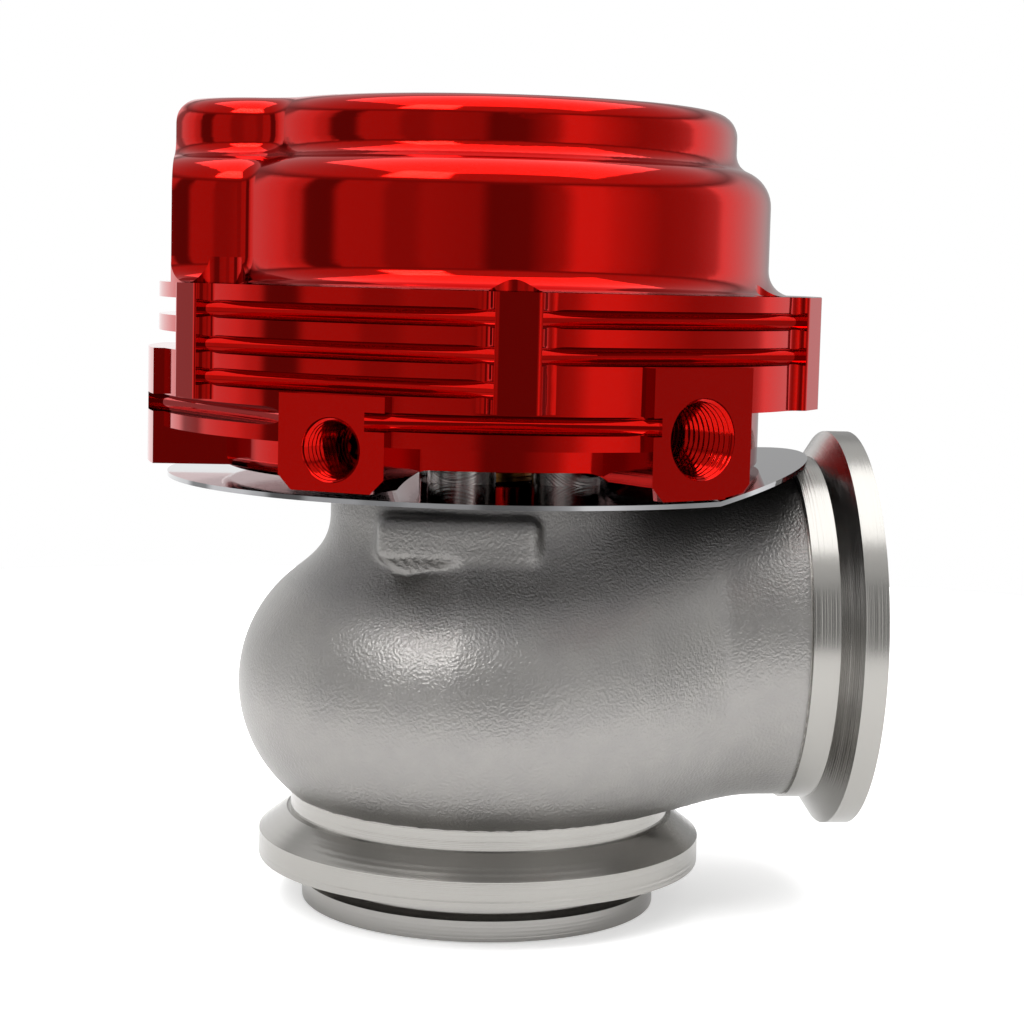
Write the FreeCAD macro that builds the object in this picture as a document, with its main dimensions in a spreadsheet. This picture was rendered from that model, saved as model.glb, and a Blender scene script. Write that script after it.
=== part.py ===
import FreeCAD, Part
import math
import os
import Sketcher
from FreeCAD import Vector, Rotation, Placement

# Water-cooled external wastegate with V-band ports, in millimetres.
# Origin: centre of the seat ring's foot, on the valve axis. +Z runs up the stem, +X out of the outlet.

os.makedirs("parts", exist_ok=True)
doc = FreeCAD.newDocument("turbo_wastegate")
sheet = doc.addObject("Spreadsheet::Sheet", "Sizes")

driving = {
    # inlet flange and seat ring
    "rim_radius": 31.0,
    "rim_bottom": 6.15,
    "rim_top": 9.7,
    "cone_top": 12.6,
    "cone_radius": 27.2,
    "seat_bore": 19.5,
    "seat_foot_radius": 24.85,
    "seat_foot_height": 2.8,
    "seat_groove_radius": 23.2,
    "seat_shoulder_radius": 25.6,
    "seat_shoulder_height": 1.2,
    "seat_pocket_radius": 23.5,
    "seat_sleeve_height": 6.85,
    "seat_chamfer": 1.8,
    # cast body
    "lower_neck_radius": 26.6,
    "lower_neck_top": 15.4,
    "bulge_radius": 19.3,
    "bulge_top": 48.7,
    "neck_radius": 21.6,
    "neck_top": 59.3,
    "wall": 3.2,
    "inner_bulge_radius": 17.4,
    "chamber_top": 46.0,
    "chamber_top_radius": 18.8,
    "guide_boss_radius": 9.5,
    "guide_boss_drop": 4.0,
    "rib_length": 20.0,
    "rib_height": 5.2,
    "rib_level": 50.2,
    "rib_face": 23.4,
    "rib_fillet": 2.2,
    # outlet tube and flange
    "outlet_level": 38.9,
    "outlet_face": 51.3,
    "outlet_rim_radius": 27.8,
    "outlet_rim_width": 3.2,
    "outlet_cone_width": 2.4,
    "outlet_band_radius": 24.2,
    "outlet_band_width": 3.6,
    "tube_radius": 23.7,
    "tube_root_radius": 20.0,
    "tube_root_level": 34.4,
    "tube_mouth_width": 25.0,
    "tube_waist_width": 22.7,
    "tube_root_reach": 8.0,
    "outlet_bore": 21.0,
    "outlet_bore_depth": 12.0,
    # valve
    "stem_radius": 4.0,
    "stem_fit": 0.04,
    "stem_thread_radius": 3.0,
    "stem_end": 91.0,
    "valve_radius": 22.0,
    "valve_edge": 1.5,
    "valve_seat_gap": 0.2,
    "valve_lift": 10.0,
    "tulip_height": 10.5,
    "guide_radius": 6.5,
    "guide_length": 18.8,
    # heat shield
    "shield_thickness": 0.6,
    "shield_radius": 44.3,
    "shield_offset": 0.1,
    "shield_bend": 27.0,
    "shield_angle": 12.5,
    "shield_hole_radius": 7.4,
    "shield_clearance": 0.8,
    # spacers and housing screws
    "post_x": 7.0,
    "post_y": 13.5,
    "post_radius": 4.6,
    "post_shift": 2.7,
    "post_height": 3.4,
    "screw_radius": 2.5,
    "screw_head_radius": 4.25,
    "screw_head_height": 5.0,
    "screw_socket": 2.0,
    "screw_reach": 9.0,
    "screw_fit": 0.2,
    "washer_radius": 4.5,
    "washer_thickness": 1.0,
    # lower actuator housing
    "body_radius": 45.5,
    "lobe_radius": 47.0,
    "lobe_width": 6.6,
    "lobe_tip": 1.0,
    "lobe_root": 2.0,
    "skirt_radius": 37.5,
    "skirt_drop": 2.3,
    "skirt_fillet": 2.0,
    "floor_thickness": 4.3,
    "ring_bottom": 66.5,
    "flange_bottom": 71.0,
    "joint_level": 78.0,
    "chamber_radius": 33.0,
    "channel_width": 29.0,
    "channel_fillet": 5.0,
    "cutback": 20.0,
    "air_block_face": 46.6,
    "air_block_width": 15.6,
    "air_block_bottom": 60.5,
    "air_block_top": 76.8,
    "air_port_level": 68.0,
    "air_port_radius": 5.14,
    "air_port_depth": 9.5,
    "air_drill_radius": 2.3,
    "coolant_block_face": 46.9,
    "coolant_block_width": 14.4,
    "coolant_block_bottom": 60.9,
    "coolant_block_top": 72.7,
    "coolant_port_level": 66.0,
    "coolant_port_radius": 4.0,
    "coolant_port_depth": 8.0,
    "coolant_drill_radius": 1.8,
    "gallery_radius": 34.6,
    "block_chamfer": 1.8,
    "side_block_radius": 46.9,
    "side_block_width": 23.0,
    "side_block_bottom": 61.5,
    "side_block_top": 77.1,
    "slot_height": 2.3,
    "slot_half_angle": 26.0,
    "slot_runout": 1.0,
    "slot_rise": 4.45,
    "under_slot_level": 69.6,
    "under_slot_half_angle": 22.0,
    "bushing_radius": 6.0,
    "bushing_length": 6.4,
    "boss_radius": 9.3,
    "boss_gap": 1.1,
    "boss_rise": 4.6,
    "seal_radius": 7.4,
    "seal_height": 2.4,
    "retainer_height": 0.8,
    # diaphragm stack
    "stack_level": 75.6,
    "plate_radius": 26.0,
    "plate_thickness": 1.4,
    "rubber": 0.8,
    "piston_radius": 27.0,
    "piston_wall": 1.8,
    "piston_floor": 2.5,
    "piston_height": 10.2,
    "fold_inner": 27.3,
    "fold_outer": 32.6,
    "fold_level": 86.0,
    "bead_radius": 37.0,
    "nut_width": 10.0,
    "nut_height": 5.0,
    "stem_washer_radius": 7.5,
    "stem_washer_thickness": 1.2,
    "bore_fit": 0.05,
    # springs
    "spring_clearance": 0.15,
    "outer_coil": 22.6,
    "outer_wire": 1.5,
    "outer_turns": 4.5,
    "inner_coil": 17.4,
    "inner_wire": 1.3,
    "inner_turns": 5.5,
    # cap
    "cap_flange_top": 85.6,
    "cap_top": 110.0,
    "top_tier_radius": 33.3,
    "top_tier_fillet": 3.2,
    "low_tier_radius": 38.2,
    "low_tier_top": 102.5,
    "low_tier_fillet": 5.0,
    "tier_blend": 2.6,
    "flare": 3.4,
    "boss_reach": 30.0,
    "boss_round": 14.5,
    "boss_blend": 6.0,
    "boss_face": 43.1,
    "cap_roof": 4.0,
    "cap_upper_radius": 28.6,
    "cap_step": 98.0,
    "top_port_level": 95.6,
    # cap screws
    "cap_screw_circle": 42.5,
    "cap_screw_radius": 2.0,
    "cap_head_radius": 3.5,
    "cap_head_height": 3.6,
    "cap_head_sink": 0.4,
    "cap_screw_depth": 5.5,
}
for row, (alias, number) in enumerate(driving.items(), 1):
    sheet.set(f"A{row}", alias)
    sheet.set(f"B{row}", str(number))
    sheet.setAlias(f"B{row}", alias)
doc.recompute()


def full(text):
    """An expression with its @names turned into cells of the sheet."""
    return text.replace("@", "Sizes.")


def value(text):
    """The number that an expression gives with the sheet's present sizes."""
    return float(sheet.evalExpression(full(text)))


def bind(item, **properties):
    """Bind properties to expressions; a double underscore in a name stands for a dot."""
    for name, text in properties.items():
        item.setExpression(name.replace("__", "."), full(text))


def place(item, x="0", y="0", z="0", turn=None):
    """Turn an item, then bind its place."""
    if turn is not None:
        item.Placement = Placement(Vector(0, 0, 0), turn)
    bind(item, Placement__Base__x=x, Placement__Base__y=y, Placement__Base__z=z)
    return item


def cylinder(name, radius, height, x="0", y="0", z="0", turn=None):
    item = doc.addObject("Part::Cylinder", name)
    bind(item, Radius=radius, Height=height)
    return place(item, x, y, z, turn)


def cone(name, radius_start, radius_end, height, x="0", y="0", z="0", turn=None):
    item = doc.addObject("Part::Cone", name)
    bind(item, Radius1=radius_start, Radius2=radius_end, Height=height)
    return place(item, x, y, z, turn)


def block(name, length, width, height, x="0", y="0", z="0", turn=None):
    item = doc.addObject("Part::Box", name)
    bind(item, Length=length, Width=width, Height=height)
    return place(item, x, y, z, turn)


def join(name, items):
    item = doc.addObject("Part::MultiFuse", name)
    item.Shapes = items
    return item


def remove(name, base, items):
    item = doc.addObject("Part::Cut", name)
    item.Base = base
    item.Tool = items[0] if len(items) == 1 else join(name + "_tools", items)
    return item


def overlap(name, first, second):
    item = doc.addObject("Part::MultiCommon", name)
    item.Shapes = [first, second]
    return item


def gather(label, items):
    """Separate solids that share one node."""
    item = doc.addObject("Part::Compound", label)
    item.Links = items
    item.Label = label
    return item


def rounded(name, base, radius, wanted):
    """Fillet the edges of base for which wanted(edge) is true."""
    doc.recompute()
    item = doc.addObject("Part::Fillet", name)
    item.Base = base
    size = value(radius)
    item.Edges = [(n, size, size) for n, edge in enumerate(base.Shape.Edges, 1) if wanted(edge)]
    return item


def flat_at(level):
    """A test for edges that lie wholly at one height."""
    height = value(level)

    def test(edge):
        box = edge.BoundBox
        return abs(box.ZMin - height) < 1e-4 and abs(box.ZMax - height) < 1e-4
    return test


def outline(body, name, plane, points):
    """A closed sketch in one of the body's origin planes.

    Each point is (across, up) or (across, up, radius, side): the edge that leaves it is then an arc
    of that radius, whose centre lies to the left (side 1) or right (side -1) of the way it goes.
    """
    sketch = body.newObject("Sketcher::SketchObject", name)
    base = [item for item in body.Origin.OriginFeatures if item.Role == plane][0]
    sketch.AttachmentSupport = [(base, "")]
    sketch.MapMode = "FlatFace"
    spots = [Vector(value(point[0]), value(point[1]), 0) for point in points]
    count = len(points)
    for n, point in enumerate(points):
        start, end = spots[n], spots[(n + 1) % count]
        if len(point) == 2:
            sketch.addGeometry(Part.LineSegment(start, end), False)
            continue
        radius = value(point[2])
        half = (end - start) * 0.5
        left = Vector(-half.y, half.x, 0).normalize()
        reach = math.sqrt(radius ** 2 - half.Length ** 2)
        centre = start + half + left * (point[3] * reach)
        middle = centre + (left * (-point[3])) * radius
        # a sketch keeps its arcs anticlockwise
        if point[3] < 0:
            start, end = end, start
        sketch.addGeometry(Part.Arc(start, middle, end), False)
    begins = [len(point) == 2 or point[3] > 0 for point in points]
    for n, point in enumerate(points):
        following = (n + 1) % count
        sketch.addConstraint(Sketcher.Constraint(
            "Coincident", n, 2 if begins[n] else 1, following, 1 if begins[following] else 2))
        for kind, text, number in (("DistanceX", point[0], spots[n].x), ("DistanceY", point[1], spots[n].y)):
            index = sketch.addConstraint(Sketcher.Constraint(kind, -1, 1, n, 1 if begins[n] else 2, number))
            if "@" in text:
                sketch.setExpression(f"Constraints[{index}]", full(text))
        if len(point) > 2:
            index = sketch.addConstraint(Sketcher.Constraint("Radius", n, value(point[2])))
            sketch.setExpression(f"Constraints[{index}]", full(point[2]))
    return sketch


def turned(label, points, x="0", y="0", z="0"):
    """A body turned about the Z axis from a closed profile of (radius, height) points."""
    body = doc.addObject("PartDesign::Body", label)
    body.Label = label
    profile = outline(body, label + "_profile", "XZ_Plane", points)
    revolution = body.newObject("PartDesign::Revolution", label + "_revolution")
    revolution.Profile = profile
    revolution.ReferenceAxis = (profile, ["V_Axis"])
    revolution.Angle = 360
    body.Tip = revolution
    return place(body, x, y, z)


def around(angle):
    """A turn about Z that points +X at the angle."""
    return Rotation(Vector(0, 0, 1), angle)


alongX = Rotation(Vector(0, 1, 0), 90)
postCorners = [(1, 1), (1, -1), (-1, 1), (-1, -1)]
lobeAngles = [30 + 60 * n for n in range(6)]
airAngles = [59.5, -59.5]
coolantAngles = [118, -118]
bayAngles = [60 * n for n in range(6)]
floorBottom = "(@neck_top + @shield_thickness + @post_height)"
floorTop = "(@neck_top + @shield_thickness + @post_height + @floor_thickness)"
shieldTop = "(@neck_top + @shield_thickness)"
seatTop = "(@rim_bottom + @seat_sleeve_height)"


# --- cast housing -------------------------------------------------------------------------

acrossX = Rotation(Vector(1, 1, 1), 120)


def tube(name, rings):
    """A loft through upright ellipses, each (reach, half width, half height, level); the last is round."""
    sections = []
    for n, (reach, width, height, level) in enumerate(rings):
        if width == height:
            ring = doc.addObject("Part::Circle", f"{name}_ring{n}")
            bind(ring, Radius=width)
        else:
            ring = doc.addObject("Part::Ellipse", f"{name}_ring{n}")
            bind(ring, MajorRadius=width, MinorRadius=height)
        sections.append(place(ring, reach, "0", level, acrossX))
    loft = doc.addObject("Part::Loft", name)
    loft.Sections = sections
    loft.Solid = True
    return loft


def valveHousing():
    casting = turned("casting", [
        ("0", "@rim_bottom"),
        ("@rim_radius", "@rim_bottom"),
        ("@rim_radius", "@rim_top"),
        ("@cone_radius", "@cone_top"),
        ("@lower_neck_radius", "@cone_top"),
        ("@lower_neck_radius", "@lower_neck_top", "@bulge_radius", 1),
        ("@neck_radius", "@bulge_top"),
        ("@neck_radius", "@neck_top"),
        ("0", "@neck_top"),
    ])
    rimBack = "@outlet_face - @outlet_rim_width"
    coneBack = rimBack + " - @outlet_cone_width"
    bandBack = coneBack + " - @outlet_band_width"
    rib = block("rib_block", "@rib_length", "@rib_face", "@rib_height",
                "-0.75 * @rib_length", "-@rib_face", "@rib_level")
    rib = rounded("rib", rib, "@rib_fillet", lambda edge: edge.BoundBox.YMax < value("-@rib_face") + 1e-4)
    outside = join("housing_outside", [
        casting,
        tube("tube", [
            ("6", "@tube_mouth_width", "@tube_root_radius", "@tube_root_level"),
            ("20", "@tube_mouth_width", "@tube_root_radius + 1.4", "@tube_root_level + 1.7"),
            ("31", "@tube_waist_width", "@tube_root_radius + 2.3", "@tube_root_level + 2.9"),
            (coneBack, "@tube_radius", "@tube_radius", "@outlet_level"),
        ]),
        cylinder("outlet_band", "@outlet_band_radius", "@outlet_band_width + @outlet_cone_width",
                 bandBack, "0", "@outlet_level", alongX),
        cone("outlet_cone", "@outlet_band_radius", "@outlet_rim_radius", "@outlet_cone_width",
             coneBack, "0", "@outlet_level", alongX),
        cylinder("outlet_rim", "@outlet_rim_radius", "@outlet_rim_width",
                 rimBack, "0", "@outlet_level", alongX),
        rib,
    ])
    chamber = turned("chamber", [
        ("0", "@rim_bottom - 1"),
        ("@seat_pocket_radius", "@rim_bottom - 1"),
        ("@seat_pocket_radius", seatTop + " + 1.8", "@inner_bulge_radius", 1),
        ("@chamber_top_radius", "@chamber_top"),
        ("@guide_boss_radius", "@chamber_top"),
        ("@guide_boss_radius", "@chamber_top - @guide_boss_drop"),
        ("0", "@chamber_top - @guide_boss_drop"),
    ])
    bored = [
        chamber,
        tube("gas_way", [
            ("@tube_root_reach", "@tube_root_radius - @wall", "@tube_root_radius - @wall", "@tube_root_level"),
            ("@outlet_face - @outlet_bore_depth", "@outlet_bore", "@outlet_bore", "@outlet_level"),
        ]),
        cylinder("outlet_bore_cut", "@outlet_bore", "@outlet_bore_depth + 1",
                 "@outlet_face - @outlet_bore_depth", "0", "@outlet_level", alongX),
        cylinder("guide_hole", "@guide_radius", "@neck_top", "0", "0", "@chamber_top - 10"),
    ]
    guideBoss = cylinder("guide_boss", "@guide_boss_radius", "@guide_boss_drop + 1", "0", "0",
                         "@chamber_top - @guide_boss_drop")
    for n, (side, end) in enumerate(postCorners):
        bored.append(cylinder(f"housing_tap{n}", "@screw_radius", "@screw_reach + 1",
                              f"{side} * @post_x + @post_shift", f"{end} * @post_y", "@neck_top - @screw_reach"))
    hollow = remove("housing_hollow", outside, bored)
    sleeve = remove("guide_sleeve", guideBoss, [
        cylinder("guide_sleeve_hole", "@guide_radius", "@guide_boss_drop + 3", "0", "0",
                 "@chamber_top - @guide_boss_drop - 1")])
    housing = join("valve_housing", [hollow, sleeve])
    housing.Label = "valve_housing"
    return housing


def valveSeat():
    shoulderBottom = "@rim_bottom - @seat_shoulder_height"
    return turned("valve_seat", [
        ("@seat_bore", "0"),
        ("@seat_foot_radius", "0"),
        ("@seat_foot_radius", "@seat_foot_height"),
        ("@seat_groove_radius", "@seat_foot_height + 0.6"),
        ("@seat_groove_radius", shoulderBottom),
        ("@seat_shoulder_radius", shoulderBottom),
        ("@seat_shoulder_radius", "@rim_bottom"),
        ("@seat_pocket_radius - @bore_fit", "@rim_bottom"),
        ("@seat_pocket_radius - @bore_fit", seatTop),
        ("@seat_bore + @seat_chamfer", seatTop),
        ("@seat_bore", seatTop + " - @seat_chamfer"),
    ])


def valve():
    face = "(" + seatTop + " - @seat_chamfer + @valve_seat_gap)"
    edge = "(" + face + " + @valve_radius - @seat_bore)"
    return turned("valve", [
        ("0", face),
        ("@seat_bore", face),
        ("@valve_radius", edge),
        ("@valve_radius", edge + " + @valve_edge"),
        ("@valve_radius - 3", edge + " + @valve_edge + 0.6", "@valve_radius - @stem_radius", -1),
        ("@stem_radius", edge + " + @valve_edge + @tulip_height"),
        ("@stem_radius", "@stack_level"),
        ("@stem_thread_radius", "@stack_level"),
        ("@stem_thread_radius", "@stem_end - 0.6"),
        ("@stem_thread_radius - 0.6", "@stem_end"),
        ("0", "@stem_end"),
    ])


def tubePiece(label, inner, outer, bottom, top, chamfer="0.3"):
    """A plain turned ring with its outer corners broken."""
    return turned(label, [
        (inner, bottom),
        (f"{outer} - {chamfer}", bottom),
        (outer, f"{bottom} + {chamfer}"),
        (outer, f"{top} - {chamfer}"),
        (f"{outer} - {chamfer}", top),
        (inner, top),
    ])


def valveGuide():
    guide = tubePiece("valve_guide", "@stem_radius + @stem_fit", "@guide_radius",
                      "@chamber_top - @guide_boss_drop", "@chamber_top - @guide_boss_drop + @guide_length")
    return guide


# --- heat shield, spacers and screws ------------------------------------------------------

def heatShield():
    strip = doc.addObject("PartDesign::Body", "shield_strip")
    rise = "(80 - @shield_bend) * tan(@shield_angle)"
    profile = outline(strip, "shield_profile", "XZ_Plane", [
        ("-80", "@neck_top"),
        ("@shield_bend", "@neck_top"),
        ("80", f"@neck_top + {rise}"),
        ("80", f"@neck_top + {rise} + @shield_thickness / cos(@shield_angle)"),
        ("@shield_bend - @shield_thickness * tan(@shield_angle / 2)", shieldTop),
        ("-80", shieldTop),
    ])
    pad = strip.newObject("PartDesign::Pad", "shield_pad")
    pad.Profile = profile
    pad.Midplane = True
    bind(pad, Length="3 * @shield_radius")
    strip.Tip = pad
    disc = overlap("shield_disc", strip, cylinder(
        "shield_round", "@shield_radius", "40", "@shield_offset", "0", "@neck_top - 5"))
    holes = [cylinder("shield_hole", "@shield_hole_radius", "10", "0", "0", "@neck_top - 5")]
    for n, (side, end) in enumerate(postCorners):
        holes.append(cylinder(f"shield_hole{n}", "@screw_radius + @screw_fit", "10",
                              f"{side} * @post_x + @post_shift", f"{end} * @post_y", "@neck_top - 5"))
    shield = remove("heat_shield", disc, holes)
    shield.Label = "heat_shield"
    return shield


def standoffs():
    posts = []
    for n, (side, end) in enumerate(postCorners):
        x, y = f"{side} * @post_x + @post_shift", f"{end} * @post_y"
        posts.append(remove(f"post{n}", cylinder(f"post_rod{n}", "@post_radius", "@post_height", x, y, shieldTop), [
            cylinder(f"post_hole{n}", "@screw_radius + @screw_fit", "@post_height + 2", x, y, shieldTop + " - 1")]))
    return gather("standoffs", posts)


def capScrew(name, x, y, seat, radius, length, headRadius, headHeight, socket):
    """A socket-head screw whose head sits on the level called seat."""
    head = cylinder(name + "_head", headRadius, headHeight, x, y, seat)
    hexagon = doc.addObject("Part::Prism", name + "_socket")
    hexagon.Polygon = 6
    bind(hexagon, Circumradius=socket, Height=f"0.6 * {headHeight}")
    place(hexagon, x, y, f"{seat} + 0.5 * {headHeight}")
    shank = cylinder(name + "_shank", radius, length, x, y, f"{seat} - {length}")
    return remove(name, join(name + "_blank", [head, shank]), [hexagon])


def housingScrews():
    grip = "(@washer_thickness + @floor_thickness + @post_height + @shield_thickness + @screw_reach - 1)"
    screws = []
    for n, (side, end) in enumerate(postCorners):
        screws.append(capScrew(f"housing_screw{n}", f"{side} * @post_x + @post_shift", f"{end} * @post_y",
                               f"({floorTop} + @washer_thickness)", "@screw_radius", grip,
                               "@screw_head_radius", "@screw_head_height", "@screw_socket * 1.155"))
    return gather("housing_screws", screws)


def housingScrewWashers():
    washers = []
    for n, (side, end) in enumerate(postCorners):
        x, y = f"{side} * @post_x + @post_shift", f"{end} * @post_y"
        disc = cylinder(f"washer_disc{n}", "@washer_radius", "@washer_thickness", x, y, floorTop)
        hole = cylinder(f"washer_hole{n}", "@screw_radius + @screw_fit", "@washer_thickness + 2",
                        x, y, floorTop + " - 1")
        washers.append(remove(f"washer{n}", disc, [hole]))
    return gather("housing_screw_washers", washers)


# --- lower actuator housing ---------------------------------------------------------------

def lobedFlange(name, bottom, height):
    """A round flange with six narrow lobes a little proud of it, blended at their roots."""
    solids = [cylinder(name + "_round", "@body_radius", height, z=bottom)]
    for n, angle in enumerate(lobeAngles):
        solids.append(block(f"{name}_lobe{n}", "@lobe_radius", "@lobe_width", height,
                            f"@lobe_width / 2 * sin({angle})", f"-@lobe_width / 2 * cos({angle})", bottom,
                            around(angle)))

    def upright(edge, inner, outer):
        middle = edge.CenterOfMass
        return (edge.BoundBox.ZLength > value(height) - 1e-3
                and inner < math.hypot(middle.x, middle.y) < outer)

    star = join(name + "_star", solids)
    body, reach = value("@body_radius"), value("@lobe_radius")
    tips = rounded(name + "_tips", star, "@lobe_tip", lambda edge: upright(edge, reach - 0.1, reach + 2))
    return rounded(name, tips, "@lobe_root", lambda edge: upright(edge, body - 0.05, body + 0.05)
                   and edge.Curve.TypeId == "Part::GeomLine" and abs(edge.CenterOfMass.y) > 1)


def slots(name, angles, level, halfAngle):
    """Straight round-nosed fin slots, each laid along the chord between its two ends on the round body."""
    length = f"(2 * @body_radius * sin({halfAngle}) + 2 * @slot_runout)"
    nose = f"(@body_radius * cos({halfAngle}) + @slot_height / 2)"
    cutters = []
    for n, angle in enumerate(angles):
        x = f"{nose} * cos({angle}) + {length} / 2 * sin({angle})"
        y = f"{nose} * sin({angle}) - {length} / 2 * cos({angle})"
        cutters.append(block(f"{name}_slab{n}", "20", length, "@slot_height", x, y,
                             f"{level} - @slot_height / 2", around(angle)))
        cutters.append(cylinder(f"{name}_nose{n}", "@slot_height / 2", length, x, y, level,
                                around(angle).multiply(Rotation(Vector(1, 0, 0), -90))))
    return cutters


def portBlock(name, angle, face, width, bottom, top):
    """A flat-faced block for a port, with its lower corners cut off."""
    body = block(name + "_bar", f"{face} - 28", width, f"{top} - {bottom}")
    body.Placement = Placement(Vector(0, 0, 0), around(angle))
    place(body, f"28 * cos({angle}) + {width} / 2 * sin({angle})",
          f"28 * sin({angle}) - {width} / 2 * cos({angle})", bottom)
    doc.recompute()
    long = value(f"{face} - 28")
    item = doc.addObject("Part::Chamfer", name)
    item.Base = body
    size = value("@block_chamfer")
    item.Edges = [(n, size, size) for n, edge in enumerate(body.Shape.Edges, 1)
                  if abs(edge.Length - long) < 1e-3 and edge.BoundBox.ZMax < value(bottom) + 1e-3]
    return item


def radialHole(name, angle, radius, depth, face, level):
    """A hole drilled towards the axis from a face."""
    turn = around(angle).multiply(alongX)
    return cylinder(name, radius, f"{depth} + 5", f"({face} - {depth}) * cos({angle})",
                    f"({face} - {depth}) * sin({angle})", level, turn)


def lowerHousing():
    flangeHeight = "@joint_level - @flange_bottom"
    skirtBottom = f"({floorBottom} - @skirt_drop)"
    skirt = cylinder("skirt_round", "@skirt_radius", f"@flange_bottom - {skirtBottom} + 1", z=skirtBottom)
    skirt = rounded("skirt", skirt, "@skirt_fillet", flat_at(skirtBottom))
    ring = overlap("ring", cylinder("ring_round", "@body_radius", "@flange_bottom - @ring_bottom + 1",
                                    z="@ring_bottom"),
                   block("ring_side", "3 * @body_radius", "4 * @body_radius", "40",
                         "@cutback - 3 * @body_radius", "-2 * @body_radius", "@ring_bottom - 5"))
    sideBlock = overlap("side_block", cylinder("side_round", "@side_block_radius",
                                               "@side_block_top - @side_block_bottom", z="@side_block_bottom"),
                        block("side_bar", "30", "@side_block_width", "40", "-30 - 30",
                              "-@side_block_width / 2", "@side_block_bottom - 5"))
    solids = [
        lobedFlange("lower_flange", "@flange_bottom", flangeHeight),
        skirt, ring, sideBlock,
        cylinder("seal_boss", "@boss_radius", f"{floorTop} + @boss_rise - {shieldTop} - @boss_gap",
                 z=f"{shieldTop} + @boss_gap"),
    ]
    for n, angle in enumerate(airAngles):
        solids.append(portBlock(f"air_block{n}", angle, "@air_block_face", "@air_block_width",
                                "@air_block_bottom", "@air_block_top"))
    for n, angle in enumerate(coolantAngles):
        solids.append(portBlock(f"coolant_block{n}", angle, "@coolant_block_face", "@coolant_block_width",
                                "@coolant_block_bottom", "@coolant_block_top"))
    outside = join("lower_outside", solids)
    channel = block("channel_bar", "@channel_width", "6 * @body_radius", f"{floorBottom} - 40",
                    "-@channel_width / 2", "-3 * @body_radius", "40")
    channel = rounded("channel", channel, "@channel_fillet", lambda edge: (
        edge.BoundBox.ZMin > value(floorBottom) - 1e-3 and edge.BoundBox.YLength > value("@body_radius")))
    boss = cylinder("channel_boss", "@boss_radius", "60", z=f"{shieldTop} + @boss_gap")
    channel = remove("channel_open", channel, [boss])
    bowl = cylinder("bowl_round", "@chamber_radius", "@joint_level", z=floorTop)
    bowl = rounded("bowl", bowl, "2.5", flat_at(floorTop))
    bowl = remove("bowl_open", bowl, [cylinder("bowl_boss", "@boss_radius", f"@boss_rise + 2",
                                               z=f"{floorTop} - 2")])
    # the skirt is relieved over the shield's bent-up tab
    tab = block("tab_relief", "40", "3 * @body_radius", "20", "@shield_bend + 20 * sin(@shield_angle)",
                "-1.5 * @body_radius", f"{shieldTop} + @shield_clearance - 20 * cos(@shield_angle)",
                Rotation(Vector(0, 1, 0), -value("@shield_angle")))
    cuts = [channel, bowl, tab]
    cuts += slots("joint_slot", bayAngles, "@joint_level", "@slot_half_angle")
    cuts += slots("low_slot", (120, 240), "@joint_level - @slot_rise + 0.35", "@slot_half_angle")
    cuts += slots("under_slot", (90, 150, 210, 270), "@under_slot_level", "@under_slot_half_angle")
    for n, angle in enumerate(airAngles):
        cuts.append(radialHole(f"air_port{n}", angle, "@air_port_radius", "@air_port_depth",
                               "@air_block_face", "@air_port_level"))
        cuts.append(radialHole(f"air_drill{n}", angle, "@air_drill_radius", "(@air_block_face - 31)",
                               "@air_block_face", "@air_port_level"))
    for n, angle in enumerate(coolantAngles):
        cuts.append(radialHole(f"coolant_port{n}", angle, "@coolant_port_radius", "@coolant_port_depth",
                               "@coolant_block_face", "@coolant_port_level"))
        cuts.append(radialHole(f"coolant_drill{n}", angle, "@coolant_drill_radius",
                               "(@coolant_block_face - @gallery_radius)", "@coolant_block_face",
                               "@coolant_port_level"))
    for n, angle in enumerate(lobeAngles):
        cuts.append(cylinder(f"cap_tap{n}", "@cap_screw_radius", "@cap_screw_depth + 1",
                             f"@cap_screw_circle * cos({angle})", f"@cap_screw_circle * sin({angle})",
                             "@joint_level - @cap_screw_depth"))
    for n, (side, end) in enumerate(postCorners):
        x, y = f"{side} * @post_x + @post_shift", f"{end} * @post_y"
        cuts.append(cylinder(f"floor_hole{n}", "@screw_radius + @screw_fit", "20", x, y, f"{floorBottom} - 10"))
        cuts.append(cylinder(f"post_room{n}", "@post_radius + @screw_fit", "10", x, y, f"{floorBottom} - 10"))
    bossTop = f"({floorTop} + @boss_rise)"
    cuts.append(cylinder("bushing_hole", "@bushing_radius", "40", z=f"{shieldTop} - 5"))
    cuts.append(cylinder("seal_pocket", "@seal_radius", "10", z=f"{bossTop} - @seal_height - @retainer_height"))
    gallery = doc.addObject("Part::Torus", "gallery")
    bind(gallery, Radius1="@gallery_radius", Radius2="@coolant_drill_radius")
    gallery.Angle3 = 360 - 2 * coolantAngles[0]
    place(gallery, z="@coolant_port_level", turn=around(coolantAngles[0]))
    cuts.append(gallery)
    housing = remove("lower_housing", outside, cuts)
    housing.Label = "lower_housing"
    return housing


def bossPieces():
    """Bushing, lip seal and retaining ring in the lower housing's centre boss."""
    bossTop = f"({floorTop} + @boss_rise)"
    sealTop = f"({bossTop} - @retainer_height)"
    sealBottom = f"({sealTop} - @seal_height)"
    return [
        tubePiece("stem_bushing", "@stem_radius + @stem_fit", "@bushing_radius",
                  f"{sealBottom} - @bushing_length", sealBottom),
        tubePiece("stem_seal", "@stem_radius + @stem_fit", "@seal_radius", sealBottom, sealTop),
        tubePiece("seal_retainer", "@stem_radius + 1", "@seal_radius", sealTop, bossTop, "0.1"),
    ]


# --- diaphragm, piston and springs --------------------------------------------------------

stackRubber = "(@stack_level + @plate_thickness)"
stackPiston = "(@stack_level + @plate_thickness + @rubber)"
springFoot = "(@stack_level + @plate_thickness + @rubber + @piston_floor)"


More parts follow.
